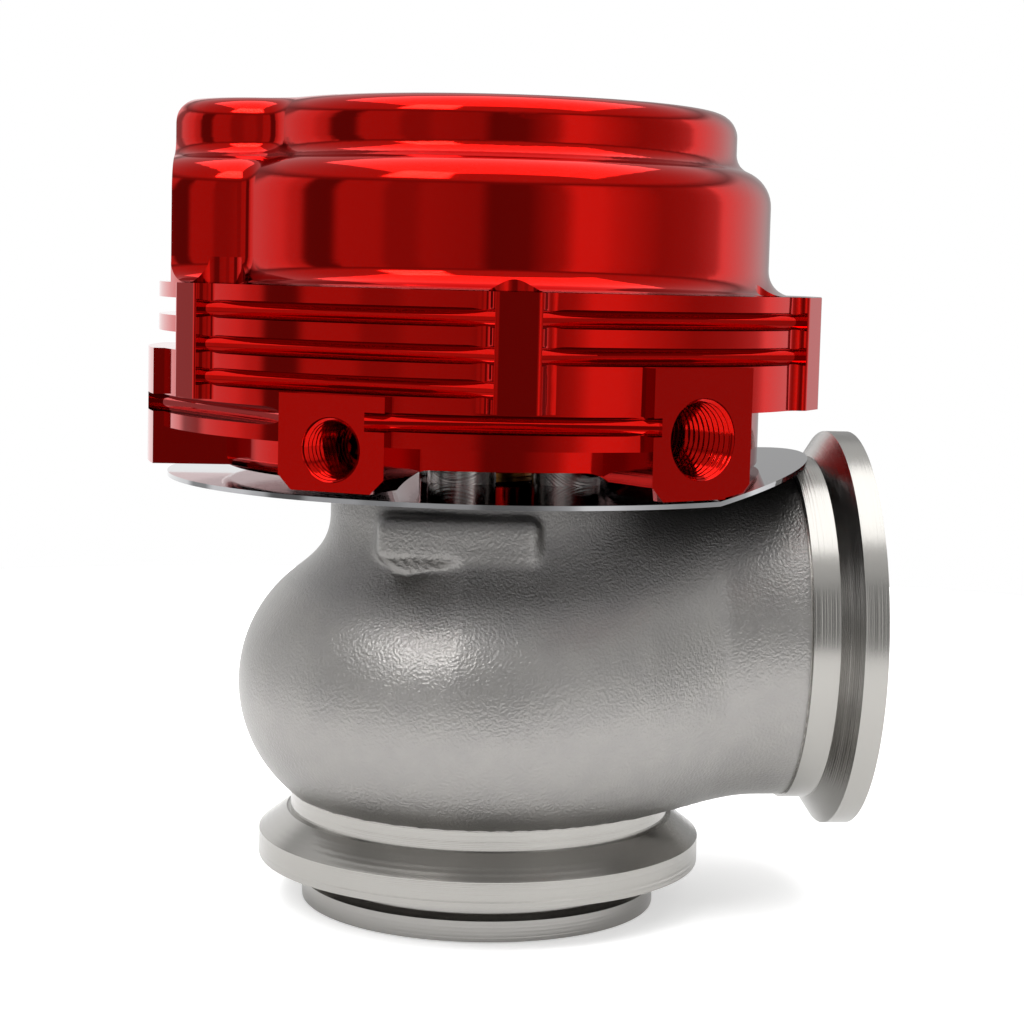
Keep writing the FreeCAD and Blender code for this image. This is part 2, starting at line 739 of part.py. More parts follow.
def diaphragmRetainer():
    return tubePiece("diaphragm_retainer", "@stem_thread_radius + @bore_fit", "@plate_radius",
                     "@stack_level", stackRubber, "0.5")


def diaphragm():
    """Flat web, a wall up the piston's skirt, a rolled fold and a bead clamped at the joint."""
    foldRadius = "((@fold_outer - @fold_inner) / 2)"
    foldMiddle = "((@fold_outer + @fold_inner) / 2)"
    return turned("diaphragm", [
        ("@stem_thread_radius + @bore_fit", stackRubber),
        ("@fold_inner + @rubber", stackRubber),
        ("@fold_inner + @rubber", "@fold_level", f"({foldRadius} - @rubber)", -1),
        (foldMiddle, f"@fold_level + {foldRadius} - @rubber", f"({foldRadius} - @rubber)", -1),
        ("@fold_outer - @rubber", "@fold_level"),
        ("@fold_outer - @rubber", "@joint_level"),
        ("@bead_radius", "@joint_level"),
        ("@bead_radius", "@joint_level + @rubber"),
        ("@fold_outer", "@joint_level + @rubber"),
        ("@fold_outer", "@fold_level", foldRadius, 1),
        (foldMiddle, f"@fold_level + {foldRadius}", foldRadius, 1),
        ("@fold_inner", "@fold_level"),
        ("@fold_inner", stackPiston),
        ("@stem_thread_radius + @bore_fit", stackPiston),
    ])


def pistonCup():
    return turned("piston_cup", [
        ("@stem_thread_radius + @bore_fit", stackPiston),
        ("@piston_radius - 1", stackPiston),
        ("@piston_radius", f"{stackPiston} + 1"),
        ("@piston_radius", f"{stackPiston} + @piston_height"),
        ("@piston_radius - @piston_wall", f"{stackPiston} + @piston_height"),
        ("@piston_radius - @piston_wall", springFoot),
        ("@stem_thread_radius + @bore_fit", springFoot),
    ])


def stemWasher():
    return tubePiece("stem_washer", "@stem_thread_radius + @bore_fit", "@stem_washer_radius", springFoot,
                     f"({springFoot} + @stem_washer_thickness)", "0.2")


def stemNut():
    hexagon = doc.addObject("Part::Prism", "nut_hexagon")
    hexagon.Polygon = 6
    bottom = f"({springFoot} + @stem_washer_thickness)"
    bind(hexagon, Circumradius="@nut_width / 2 / cos(30)", Height="@nut_height")
    place(hexagon, z=bottom)
    hole = cylinder("nut_hole", "@stem_thread_radius + @bore_fit", "@nut_height + 2", z=f"{bottom} - 1")
    nut = remove("stem_nut", hexagon, [hole])
    nut.Label = "stem_nut"
    return nut


def spring(label, coil, wire, turns):
    """A coil of round wire between the piston cup and the cap's roof."""
    foot = f"({springFoot} + @spring_clearance + {wire})"
    rise = f"(@cap_top - @cap_roof - @spring_clearance - {wire} - {foot})"
    helix = doc.addObject("Part::Helix", label + "_helix")
    bind(helix, Radius=coil, Pitch=f"{rise} / {turns}", Height=rise)
    place(helix, z=foot)
    section = doc.addObject("Part::Circle", label + "_section")
    bind(section, Radius=wire)
    lean = math.degrees(math.atan2(value(f"{rise} / {turns}"), 2 * math.pi * value(coil)))
    place(section, x=coil, z=foot, turn=Rotation(Vector(1, 0, 0), 90 + lean))
    doc.recompute()
    sweep = doc.addObject("Part::Sweep", label)
    sweep.Sections = [section]
    sweep.Spine = (helix, ["Edge1"])
    sweep.Solid = True
    sweep.Frenet = True
    sweep.Label = label
    return sweep


# --- cap ----------------------------------------------------------------------------------

def tierOutline(grow):
    """Main circle and port boss, blended by two hollow arcs and cut flat at the boss's face."""
    main = value(f"@top_tier_radius + {grow}")
    side = value(f"@boss_round + {grow}")
    blend = value(f"@boss_blend - {grow} / 2")
    reach = value("@boss_reach")
    face = value("@boss_face")
    # the hollow arc's centre is blend away from both circles
    across = ((side + blend) ** 2 - (main + blend) ** 2 - reach ** 2) / (2 * reach)
    up = math.sqrt((main + blend) ** 2 - across ** 2)
    centre = Vector(across, up, 0)
    onMain = centre * (main / (main + blend))
    toBoss = centre - Vector(-reach, 0, 0)
    onBoss = Vector(-reach, 0, 0) + toBoss * (side / (side + blend))
    corner = Vector(-face, math.sqrt(side ** 2 - (face - reach) ** 2), 0)

    def mirror(point):
        return Vector(point.x, -point.y, 0)

    def arc(start, middle, end):
        return Part.Arc(start, middle, end).toShape()

    def between(origin, radius, start, end):
        direction = (start - origin) + (end - origin)
        return origin + direction.normalize() * radius

    boss = Vector(-reach, 0, 0)
    hollow = between(centre, blend, onMain, onBoss)
    crest = between(boss, side, onBoss, corner)
    return Part.Wire([
        arc(mirror(onMain), Vector(main, 0, 0), onMain),
        arc(onMain, hollow, onBoss),
        arc(onBoss, crest, corner),
        Part.LineSegment(corner, mirror(corner)).toShape(),
        arc(mirror(corner), mirror(crest), mirror(onBoss)),
        arc(mirror(onBoss), mirror(hollow), mirror(onMain)),
    ])


def tier(name, grow, bottom, top):
    """A prism on the tier's outline. Its shape is set here because its tangent arcs are worked out."""
    item = doc.addObject("Part::Feature", name)
    wire = tierOutline(grow)
    wire.translate(Vector(0, 0, value(bottom)))
    item.Shape = Part.Face(wire).extrude(Vector(0, 0, value(top) - value(bottom)))
    return item


def outerEdge(level, least):
    """A test for flat edges at a level that lie outside a radius."""
    flat = flat_at(level)

    def test(edge):
        middle = edge.valueAt((edge.FirstParameter + edge.LastParameter) / 2)
        return flat(edge) and math.hypot(middle.x, middle.y) > value(least)
    return test


def cap():
    flangeHeight = "@cap_flange_top - @joint_level"
    grow = "(@low_tier_radius - @top_tier_radius)"
    upper = tier("upper_tier", "0", "@joint_level", "@cap_top")
    lower = tier("lower_tier", grow, "@joint_level", "@low_tier_top")
    upperRound = rounded("upper_round", upper, "@top_tier_fillet", flat_at("@cap_top"))
    lowerRound = rounded("lower_round", lower, "@low_tier_fillet", lambda edge: (
        flat_at("@low_tier_top")(edge) and edge.BoundBox.XMax > value("-@boss_face") + 1e-3))
    tiers = join("tiers", [upperRound, lowerRound])
    # the upper wall meets the lower tier's rounded shoulder just at its crest
    crest = value("@low_tier_top")
    tiers = rounded("tiers_round", tiers, "@tier_blend", lambda edge: (
        crest - 0.02 < edge.BoundBox.ZMin and edge.BoundBox.ZMax < crest + 0.02
        and edge.BoundBox.XMax > value("-@boss_face") + 1e-3))
    # the flare is rounded on a wide plate, which is then trimmed to the flange
    plate = join("cap_plated", [tiers, cylinder("cap_plate", "2 * @body_radius", flangeHeight, z="@joint_level")])
    plate = rounded("cap_flared", plate, "@flare", lambda edge: (
        flat_at("@cap_flange_top")(edge)
        and value("-@boss_face") + 1e-3 < edge.BoundBox.XMax < value("@body_radius")))
    limit = join("cap_limit", [
        cylinder("cap_round", "@body_radius", "@cap_top - @joint_level + 1", z="@joint_level"),
        lobedFlange("cap_flange", "@joint_level", flangeHeight),
    ])
    solid = overlap("cap_solid", plate, limit)
    cuts = [
        cylinder("cap_bowl", "@chamber_radius", "@cap_step - @joint_level + 1", z="@joint_level - 1"),
        cylinder("cap_crown", "@cap_upper_radius", "@cap_top - @cap_roof - @joint_level", z="@joint_level"),
        cylinder("bead_recess", "@bead_radius + 0.3", "@rubber + 1", z="@joint_level - 1"),
        radialHole("top_port", 180, "@air_port_radius", "(@air_port_depth - 2)", "@boss_face", "@top_port_level"),
        radialHole("top_drill", 180, "@air_drill_radius", "(@boss_face - @chamber_radius + 2)",
                   "@boss_face", "@top_port_level"),
    ]
    cuts += slots("cap_joint_slot", bayAngles, "@joint_level", "@slot_half_angle")
    cuts += slots("cap_slot", bayAngles, "@joint_level + @slot_rise", "@slot_half_angle")
    headSeat = "(@cap_flange_top - @cap_head_sink - @cap_head_height)"
    for n, angle in enumerate(lobeAngles):
        x, y = f"@cap_screw_circle * cos({angle})", f"@cap_screw_circle * sin({angle})"
        cuts.append(cylinder(f"cap_hole{n}", "@cap_screw_radius + @screw_fit", "30", x, y, "@joint_level - 5"))
        cuts.append(cylinder(f"cap_sink{n}", "@cap_head_radius + @screw_fit",
                             f"@cap_flange_top + @flare - {headSeat}", x, y, headSeat))
    shell = remove("cap", solid, cuts)
    shell.Label = "cap"
    return shell


def capScrews():
    seat = "(@cap_flange_top - @cap_head_sink - @cap_head_height)"
    length = f"({seat} - @joint_level + @cap_screw_depth - 0.5)"
    screws = []
    for n, angle in enumerate(lobeAngles):
        screws.append(capScrew(f"cap_screw{n}", f"@cap_screw_circle * cos({angle})",
                               f"@cap_screw_circle * sin({angle})", seat, "@cap_screw_radius", length,
                               "@cap_head_radius", "@cap_head_height", "@cap_head_radius / 2"))
    return gather("cap_screws", screws)


pieces = [valveHousing(), valveSeat(), valve(), valveGuide(), heatShield(), standoffs(), housingScrews(),
          housingScrewWashers(), lowerHousing()]
pieces += bossPieces()
pieces += [
    diaphragmRetainer(), diaphragm(), pistonCup(), stemWasher(), stemNut(),
    spring("spring_outer", "@outer_coil", "@outer_wire", "@outer_turns"),
    spring("spring_inner", "@inner_coil", "@inner_wire", "@inner_turns"),
    cap(), capScrews(),
]
doc.recompute()

for item in doc.Objects:
    if "Invalid" in item.State or "Error" in item.State:
        raise RuntimeError(f"{item.Name} failed: {item.State}")
for piece in pieces:
    shape = piece.Shape
    if shape.isNull() or not shape.isValid() or not shape.Solids:
        raise RuntimeError(f"{piece.Label} has no valid shape")
    shape.exportStep(f"parts/{piece.Label}.step")
    box = shape.BoundBox
    print(f"{piece.Label:24s} solids {len(shape.Solids)} volume {shape.Volume:9.1f} "
          f"x {box.XMin:7.2f} {box.XMax:7.2f}  y {box.YMin:7.2f} {box.YMax:7.2f}  z {box.ZMin:7.2f} {box.ZMax:7.2f}")
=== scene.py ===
import math

import bpy
import numpy as np
from mathutils import Matrix, Vector


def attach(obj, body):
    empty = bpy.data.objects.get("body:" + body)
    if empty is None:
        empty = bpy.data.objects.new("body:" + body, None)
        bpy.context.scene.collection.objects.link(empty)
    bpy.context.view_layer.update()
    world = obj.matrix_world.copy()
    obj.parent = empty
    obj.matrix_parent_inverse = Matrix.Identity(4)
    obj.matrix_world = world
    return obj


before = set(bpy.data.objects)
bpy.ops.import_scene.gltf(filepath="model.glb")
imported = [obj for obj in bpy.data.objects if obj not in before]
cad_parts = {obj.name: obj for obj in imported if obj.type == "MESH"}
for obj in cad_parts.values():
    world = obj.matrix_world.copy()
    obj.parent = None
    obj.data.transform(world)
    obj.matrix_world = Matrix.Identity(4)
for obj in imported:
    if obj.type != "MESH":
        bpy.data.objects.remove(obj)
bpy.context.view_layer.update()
print("stage: frame loaded")

# height of the outlet's axis in metres, as in the CAD model
outletLevel = 0.0389


# An sRGB hex colour as linear values with alpha.
def linear(hexText):
    out = []
    for n in (0, 2, 4):
        c = int(hexText[n:n + 2], 16) / 255
        out.append(c / 12.92 if c <= 0.04045 else ((c + 0.055) / 1.055) ** 2.4)
    return (out[0], out[1], out[2], 1.0)


# Add a shader node, set it up, and link its inputs from (node, output name) pairs.
def addNode(tree, kind, links=None, values=None, **settings):
    node = tree.nodes.new(kind)
    for name, setting in settings.items():
        setattr(node, name, setting)
    for name, amount in (values or {}).items():
        node.inputs[name].default_value = amount
    for name, (source, output) in (links or {}).items():
        tree.links.new(source.outputs[output], node.inputs[name])
    return node


# A noise texture on object coordinates, with its scale in cells per metre.
def addNoise(tree, place, scale, detail):
    return addNode(tree, "ShaderNodeTexNoise", {"Vector": (place, "Object")},
                   {"Scale": scale, "Detail": detail})


# A noise that changes along one value only.
def addLines(tree, value, scale):
    return addNode(tree, "ShaderNodeTexNoise", {"W": value}, {"Scale": scale, "Detail": 2.0},
                   noise_dimensions="1D")


# A value taken from one range to another, clamped at its ends.
def addRange(tree, value, fromLow, fromHigh, toLow=0.0, toHigh=1.0):
    limits = {"From Min": fromLow, "From Max": fromHigh, "To Min": toLow, "To Max": toHigh}
    return addNode(tree, "ShaderNodeMapRange", {"Value": value}, limits)


# A material with only a Principled shader and its output; gives the material, tree and shader.
def newMaterial(name):
    material = bpy.data.materials.new(name)
    material.use_nodes = True
    tree = material.node_tree
    shader = tree.nodes["Principled BSDF"]
    return material, tree, shader


# Fill a colour ramp with (place, hex or grey) stops.
def setRamp(ramp, stops):
    elements = ramp.color_ramp.elements
    while len(elements) < len(stops):
        elements.new(0.5)
    for element, (place, shade) in zip(elements, stops):
        element.position = place
        element.color = linear(shade) if isinstance(shade, str) else (shade, shade, shade, 1)
    return ramp


# A mesh object at the origin from arrays of points and faces.
def meshObject(name, vertices, faces, material, smooth=True):
    mesh = bpy.data.meshes.new(name)
    mesh.from_pydata(vertices.tolist(), [], faces.tolist())
    mesh.polygons.foreach_set("use_smooth", np.full(len(mesh.polygons), smooth))
    mesh.update()
    item = bpy.data.objects.new(name, mesh)
    bpy.context.scene.collection.objects.link(item)
    item.data.materials.append(material)
    return item


# Quads of a grid of rows by columns points, wrapped where it is closed.
def gridFaces(rows, columns, closedRows=False, closedColumns=False):
    r = np.arange(rows if closedRows else rows - 1)
    c = np.arange(columns if closedColumns else columns - 1)
    r, c = (a.ravel() for a in np.meshgrid(r, c, indexing="ij"))
    r2, c2 = (r + 1) % rows, (c + 1) % columns
    return np.stack([r * columns + c, r * columns + c2, r2 * columns + c2, r2 * columns + c], axis=1)


# Feed a height output into the shader's normal.
def bumped(tree, shader, height, strength, distance):
    bump = addNode(tree, "ShaderNodeBump", {"Height": height},
                   {"Strength": strength, "Distance": distance})
    tree.links.new(bump.outputs["Normal"], shader.inputs["Normal"])
    return bump


# Turned and polished aluminium, dyed red and sealed: a tinted mirror under a thin clear layer.
def makeRedAnodised():
    material, tree, shader = newMaterial("redAnodisedAluminium")
    shader.inputs["Metallic"].default_value = 1.0
    shader.inputs["Base Color"].default_value = (0.42, 0.0022, 0.0004, 1.0)
    shader.inputs["Coat Weight"].default_value = 0.08
    shader.inputs["Coat Roughness"].default_value = 0.04
    place = addNode(tree, "ShaderNodeTexCoord")
    split = addNode(tree, "ShaderNodeSeparateXYZ", {"Vector": (place, "Object")})
    # faint tool marks 0.25 mm apart up the turned faces, with a slow unevenness
    marks = addLines(tree, (split, "Z"), 4000.0)
    wide = addNoise(tree, place, 60.0, 3.0)
    rough = addRange(tree, (wide, "Fac"), 0.3, 0.7, 0.05, 0.1)
    tree.links.new(rough.outputs["Result"], shader.inputs["Roughness"])
    bumped(tree, shader, (marks, "Fac"), 0.02, 0.0001)
    return material


# One where the casting has been turned: the inlet flange and the outlet end.
def machinedMask(tree, split):
    inlet = addRange(tree, (split, "Z"), 0.0152, 0.0154, 1.0, 0.0)
    outlet = addRange(tree, (split, "X"), 0.0418, 0.0420, 0.0, 1.0)
    both = addNode(tree, "ShaderNodeMath", {0: (inlet, "Result"), 1: (outlet, "Result")}, operation="MAXIMUM")
    return both, outlet


# Distance from an axis, given the two outputs across it.
def radiusAbout(tree, first, second, offset=0.0):
    moved = addNode(tree, "ShaderNodeMath", {0: second}, {1: offset}, operation="SUBTRACT")
    flat = addNode(tree, "ShaderNodeCombineXYZ", {"X": first, "Y": (moved, "Value")})
    return addNode(tree, "ShaderNodeVectorMath", {0: (flat, "Vector")}, operation="LENGTH")


# Investment-cast stainless, shot blasted, with turned flanges.
def makeCastStainless():
    material, tree, shader = newMaterial("castStainless")
    shader.inputs["Metallic"].default_value = 1.0
    place = addNode(tree, "ShaderNodeTexCoord")
    split = addNode(tree, "ShaderNodeSeparateXYZ", {"Vector": (place, "Object")})
    mask, outlet = machinedMask(tree, split)
    # blasted grain of about 0.4 mm over a broader unevenness of about 3 mm
    grain = addNoise(tree, place, 2600.0, 2.0)
    broad = addNoise(tree, place, 300.0, 3.0)
    lumps = addNode(tree, "ShaderNodeMath", {0: (broad, "Fac"), 2: (grain, "Fac")}, {1: 0.3},
                    operation="MULTIPLY_ADD")
    # turned marks run with the radius about the outlet's axis plus x, or about the valve's axis plus z
    aboutOutlet = radiusAbout(tree, (split, "Y"), (split, "Z"), outletLevel)
    outletWay = addNode(tree, "ShaderNodeMath", {0: (aboutOutlet, "Value"), 1: (split, "X")}, operation="ADD")
    aboutValve = radiusAbout(tree, (split, "X"), (split, "Y"))
    inletWay = addNode(tree, "ShaderNodeMath", {0: (aboutValve, "Value"), 1: (split, "Z")}, operation="ADD")
    way = addNode(tree, "ShaderNodeMix", {"Factor": (outlet, "Result")}, data_type="FLOAT")
    tree.links.new(inletWay.outputs["Value"], way.inputs[2])
    tree.links.new(outletWay.outputs["Value"], way.inputs[3])
    turned = addLines(tree, (way, 0), 2600.0)
    height = addNode(tree, "ShaderNodeMix", {"Factor": (mask, "Value")}, data_type="FLOAT")
    tree.links.new(lumps.outputs["Value"], height.inputs[2])
    tree.links.new(turned.outputs["Fac"], height.inputs[3])
    tone = addNode(tree, "ShaderNodeMix", {"Factor": (mask, "Value")}, data_type="RGBA")
    castTone = setRamp(addNode(tree, "ShaderNodeValToRGB", {"Fac": (broad, "Fac")}),
                       [(0.3, "92908e"), (0.7, "979592")])
    # painted shade under the shield, where it blocks the light: the neck's tone is halved at 58 mm and whole
    # at 44 mm
    paintedShadeUnderShield = addRange(tree, (split, "Z"), 0.044, 0.058, 1.0, 0.5)
    castToneWithPaintedShade = addNode(tree, "ShaderNodeVectorMath", {0: (castTone, "Color"), "Scale": (paintedShadeUnderShield, "Result")},
                       operation="SCALE")
    tree.links.new(castToneWithPaintedShade.outputs["Vector"], tone.inputs[6])
    tone.inputs[7].default_value = linear("a09e9a")
    tree.links.new(tone.outputs[2], shader.inputs["Base Color"])
    rough = addRange(tree, (mask, "Value"), 0.0, 1.0, 0.38, 0.24)
    tree.links.new(rough.outputs["Result"], shader.inputs["Roughness"])
    strength = addRange(tree, (mask, "Value"), 0.0, 1.0, 0.4, 0.2)
    bump = bumped(tree, shader, (height, 0), 0.5, 0.0003)
    tree.links.new(strength.outputs["Result"], bump.inputs["Strength"])
    return material


# A bare metal with optional fine turned marks up the part's axis.
def makePlainMetal(name, colour, roughness, marks=0.0):
    material, tree, shader = newMaterial(name)
    shader.inputs["Metallic"].default_value = 1.0
    shader.inputs["Base Color"].default_value = linear(colour)
    shader.inputs["Roughness"].default_value = roughness
    if marks:
        place = addNode(tree, "ShaderNodeTexCoord")
        split = addNode(tree, "ShaderNodeSeparateXYZ", {"Vector": (place, "Object")})
        radius = radiusAbout(tree, (split, "X"), (split, "Y"))
        both = addNode(tree, "ShaderNodeMath", {0: (radius, "Value"), 1: (split, "Z")}, operation="ADD")
        lines = addLines(tree, (both, "Value"), 2600.0)
        bumped(tree, shader, (lines, "Fac"), marks, 0.0002)
    return material


# Black silicone and nitrile, matt.
def makeRubber():
    material, tree, shader = newMaterial("blackRubber")
    shader.inputs["Base Color"].default_value = linear("1a1a1a")
    shader.inputs["Roughness"].default_value = 0.7
    return material


redAnodised = makeRedAnodised()
castStainless = makeCastStainless()
turnedStainless = makePlainMetal("turnedStainless", "9d9b98", 0.2, 0.2)
polishedSheet = makePlainMetal("polishedStainlessSheet", "a6a6a8", 0.05)
bronze = makePlainMetal("bronze", "b5823f", 0.3, 0.1)
zincSteel = makePlainMetal("brightPlatedSteel", "b9bcc0", 0.25)
plainAluminium = makePlainMetal("turnedAluminium", "d3d4d6", 0.28, 0.2)
springSteel = makePlainMetal("peenedSpringSteel", "7b7e84", 0.4)
rubber = makeRubber()

nodeMaterials = {
    "valve_housing": castStainless,
    "valve_seat": turnedStainless,
    "valve": turnedStainless,
    "valve_guide": bronze,
    "heat_shield": polishedSheet,
    "standoffs": turnedStainless,
    "housing_screws": zincSteel,
    "housing_screw_washers": zincSteel,
    "lower_housing": redAnodised,
    "stem_bushing": bronze,
    "stem_seal": rubber,
    "seal_retainer": turnedStainless,
    "diaphragm_retainer": plainAluminium,
    "diaphragm": rubber,
    "piston_cup": plainAluminium,
    "stem_washer": turnedStainless,
    "stem_nut": zincSteel,
    "spring_outer": springSteel,
    "spring_inner": springSteel,
    "cap": redAnodised,
    "cap_screws": zincSteel,
}
for name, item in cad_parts.items():
    item.data.materials.clear()
    item.data.materials.append(nodeMaterials[name])
print("stage: materials")


# The casting's as-cast skin, in millimetres: bowl, neck, tube and rib run into each other with cast
# fillets, where the solid has plain edges. Each ray from the middle ends at the last place where the
# blend's distance is zero.
castSkinSizes = {
    "middle": (8.0, 0.0, 34.0), "offset": 0.05, "columns": 360, "rows": 240,
    "bowlCentre": (14.77, 30.65), "bowlRadius": 19.3, "neckRadius": 21.6, "footRadius": 26.6, "footTop": 15.4,
    "tubeStations": (6.0, 20.0, 31.0, 45.7), "tubeWidths": (25.0, 25.0, 22.7, 23.7),
    "tubeHeights": (20.0, 21.4, 22.3, 23.7), "tubeLevels": (34.4, 36.1, 37.3, 38.9),
    "ribCentre": (-5.0, -11.7, 52.8), "ribHalf": (10.6, 11.85, 3.2), "ribFillet": 1.7,
    "neckBlend": 5.0, "tubeBlend": 9.0, "ribBlend": 1.2,
    "lowest": 15.3, "highest": 59.25, "farthest": 43.4, "longest": 62,
}


# The lesser of two distances, less blend / 4 * (1 - |a - b| / blend) squared where they are near.
def blended(a, b, blend):
    near = np.clip(1 - np.abs(a - b) / blend, 0, 1)
    return np.minimum(a, b) - near ** 2 * blend / 4


def castDistance(x, y, z, sizes):
    radius = np.hypot(x, y)
    centre, level = sizes["bowlCentre"]
    bowl = np.hypot(np.maximum(radius - centre, 0), z - level) - sizes["bowlRadius"]
    body = blended(bowl, radius - sizes["neckRadius"], sizes["neckBlend"])
    body = np.minimum(body, np.maximum(radius - sizes["footRadius"], z - sizes["footTop"]))
    stations = sizes["tubeStations"]
    width, height, middle = (np.interp(x, stations, sizes[key])
                             for key in ("tubeWidths", "tubeHeights", "tubeLevels"))
    tube = (np.hypot(y / width, (z - middle) / height) - 1) * np.minimum(width, height)
    body = blended(body, np.maximum(tube, -x), sizes["tubeBlend"])
    fillet = sizes["ribFillet"]
    out = [np.abs(p - c) - h + fillet for p, c, h in zip((x, y, z), sizes["ribCentre"], sizes["ribHalf"])]
    outside = np.sqrt(sum(np.maximum(o, 0) ** 2 for o in out))
    rib = outside + np.minimum(np.maximum(np.maximum(out[0], out[1]), out[2]), 0) - fillet
    return blended(body, rib, sizes["ribBlend"]) - sizes["offset"]


def makeCastSkin(sizes):
    turn = np.linspace(0, 2 * np.pi, sizes["columns"], endpoint=False)
    tilt = np.linspace(0.02, np.pi - 0.02, sizes["rows"])
    tilt, turn = np.meshgrid(tilt, turn, indexing="ij")
    way = np.stack([np.sin(tilt) * np.cos(turn), np.sin(tilt) * np.sin(turn), np.cos(tilt)])
    start = np.array(sizes["middle"])[:, None, None]
    low = np.zeros(tilt.shape)
    for step in range(1, sizes["longest"]):
        low = np.where(castDistance(*(start + way * step), sizes) < 0, step, low)
    high = low + 1
    for _ in range(16):
        middle = (low + high) / 2
        within = castDistance(*(start + way * middle), sizes) < 0
        low, high = np.where(within, middle, low), np.where(within, high, middle)
    # the planes where the casting has been machined, or ends under the shield
    safe = np.where(np.abs(way) < 1e-6, 1e-6, way)
    planes = [(sizes["lowest"] - start[2]) / safe[2], (sizes["highest"] - start[2]) / safe[2],
              (sizes["farthest"] - start[0]) / safe[0]]
    limit = np.min([np.where(plane > 0, plane, np.inf) for plane in planes], axis=0)
    reach = np.minimum(low, limit)
    points = np.moveaxis(start + way * reach, 0, -1).reshape(-1, 3) / 1000
    faces = gridFaces(sizes["rows"], sizes["columns"], closedColumns=True)[:, ::-1]
    kept = ~(limit < low).ravel()[faces].all(axis=1)
    faces = faces[kept]
    used, places = np.unique(faces, return_inverse=True)
    return meshObject("castSkin", points[used], places.reshape(faces.shape), castStainless)


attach(makeCastSkin(castSkinSizes), "housing")
print("stage: cast skin")


# A pipe thread as a thin sleeve inside a port's bore.
# The radius at angle a and depth s is mouth - s * taper / 2 - depth * |saw(s / pitch - a / 2 pi)|,
# a V thread that winds inward and narrows by 1 in 16.
def threadSleeve(name, port, material):
    columns, rows = 96, int(port["length"] / port["pitch"] * 10)
    a = np.linspace(0, 2 * np.pi, columns, endpoint=False)
    s = np.linspace(0, port["length"], rows)
    depth, angle = np.meshgrid(s, a, indexing="ij")
    phase = (depth / port["pitch"] - angle / (2 * np.pi)) % 1
    tooth = 1 - np.abs(2 * phase - 1)
    entry = np.clip(depth / (0.5 * port["pitch"]), 0, 1)
    radius = port["radius"] - 0.00002 - port["depth"] * tooth * entry - depth / 32
    direction = np.array(port["direction"], float)
    side = np.cross((0, 0, 1), direction)
    up = np.array((0, 0, 1.0))
    centre = np.array(port["mouth"], float) - direction * depth[..., None]
    ring = np.cos(angle)[..., None] * side + np.sin(angle)[..., None] * up
    points = (centre + ring * radius[..., None]).reshape(-1, 3)
    return meshObject(name, points, gridFaces(rows, columns, closedColumns=True), material)


# A port's mouth on a flat face turned to the angle.
def radialPort(angle, face, level, radius, length, pitch=0.000941):
    direction = (math.cos(math.radians(angle)), math.sin(math.radians(angle)), 0.0)
    return {"mouth": (face * direction[0], face * direction[1], level), "direction": direction,
            "radius": radius, "length": length, "pitch": pitch, "depth": 0.0005}


ports = {
    "airPortThreadFront": radialPort(-59.5, 0.0466, 0.068, 0.00514, 0.0094),
    "airPortThreadRear": radialPort(59.5, 0.0466, 0.068, 0.00514, 0.0094),
    "coolantPortThreadFront": radialPort(-118, 0.0469, 0.066, 0.004, 0.0079),
    "coolantPortThreadRear": radialPort(118, 0.0469, 0.066, 0.004, 0.0079),
    "topPortThread": radialPort(180, 0.0431, 0.0956, 0.00514, 0.0074),
}
for name, port in ports.items():
    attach(threadSleeve(name, port, redAnodised), "housing")
print("stage: threads")


# A pale round floor under the seat ring's foot, which ends before the walls of the part can mirror it.
def makeFloor():
    count, size, level = 128, 0.36, -0.0002
    angle = np.linspace(0, 2 * np.pi, count, endpoint=False)
    rim = np.stack([size * np.cos(angle), size * np.sin(angle), np.full(count, level)], axis=1)
    points = np.vstack([rim, [[0, 0, level]]])
    around = np.arange(count)
    faces = np.stack([around, (around + 1) % count, np.full(count, count)], axis=1)
    material, tree, shader = newMaterial("paleFloor")
    shader.inputs["Base Color"].default_value = (0.9, 0.9, 0.9, 1)
    shader.inputs["Roughness"].default_value = 0.9
    shader.inputs["Specular IOR Level"].default_value = 0.0
    # lifted towards white, so that only the contact shadow shows
    shader.inputs["Emission Color"].default_value = (1, 1, 1, 1)
    rays = addNode(tree, "ShaderNodeLightPath")
    lift = addRange(tree, (rays, "Is Glossy Ray"), 0.0, 1.0, 0.45, 0.25)
    tree.links.new(lift.outputs["Result"], shader.inputs["Emission Strength"])
    floor = meshObject("floor", points, faces, material, smooth=False)
    return floor


# Brightness of the studio's panels round the horizon by azimuth in degrees: 0 towards the camera,
# positive towards the outlet.
studioPanels = [
    (-180, 1.0), (-150, 1.3), (-136, 1.3), (-131, 0.5), (-121, 0.5), (-116, 1.3), (-98, 1.3), (-93, 1.0),
    (-88, 0.9), (-84, 0.22), (-72, 0.22), (-68, 0.75), (-50, 0.72), (-46, 0.5), (-36, 0.5), (-31, 0.64),
    (-10, 0.55), (-5, 0.24), (10, 0.26), (15, 0.42), (24, 0.7), (30, 1.35), (40, 1.3), (46, 1.05),
    (58, 0.75), (68, 0.54), (84, 0.62), (98, 0.9), (103, 1.6), (120, 1.2), (140, 0.8), (155, 0.46),
]


# A grey step between two limits of a value, with soft ends.
def band(tree, value, start, end, soft):
    rise = addRange(tree, value, start - soft, start + soft)
    fall = addRange(tree, value, end - soft, end + soft, 1.0, 0.0)
    return addNode(tree, "ShaderNodeMath", {0: (rise, "Result"), 1: (fall, "Result")}, operation="MULTIPLY")


